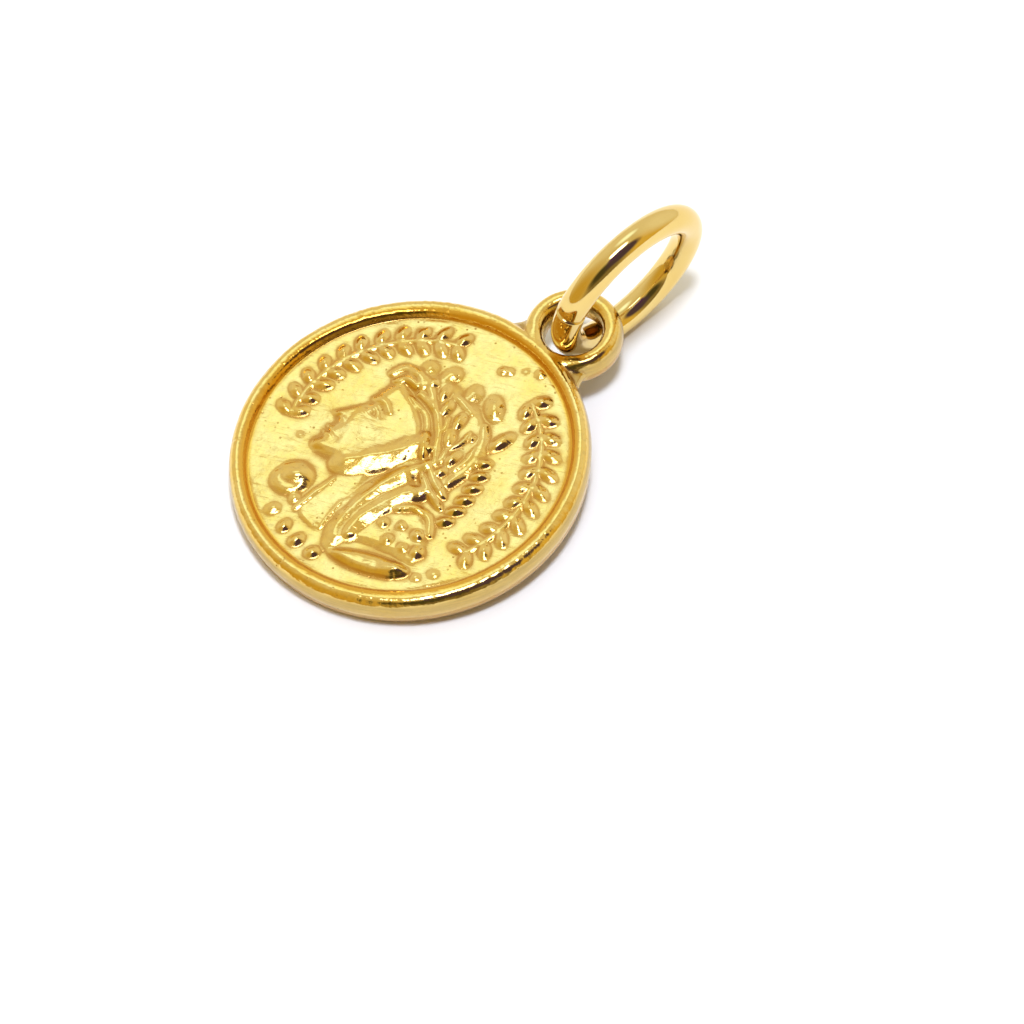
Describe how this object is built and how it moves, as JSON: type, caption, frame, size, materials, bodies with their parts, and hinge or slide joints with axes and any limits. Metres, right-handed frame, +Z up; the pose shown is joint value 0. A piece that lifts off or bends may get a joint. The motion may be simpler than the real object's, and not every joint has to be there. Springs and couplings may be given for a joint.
{
  "type": "coin pendant",
  "caption": "Round cast coin charm with a raised rim, a wreathed profile in relief and an eyelet, hung on a round wire jump ring.",
  "frame": {"origin": "on the surface the pendant lies on, under the middle of its box", "axes": "+Z up, +Y from the coin towards the eyelet and the ring, +X to the right of someone reading the coin with its eyelet up; the coin's face looks up, tipped back by under 5 degrees"},
  "size_m": [0.012, 0.0184, 0.0064],
  "materials": {
    "cast_gold": "polished gold plate over a brass casting, soft worn relief with fine casting pits",
    "wire_gold": "polished gold-plated round wire with faint drawing lines"
  },
  "bodies": {
    "root": {"coin_charm": "cast_gold", "jump_ring": "wire_gold"}
  },
  "joints": []
}
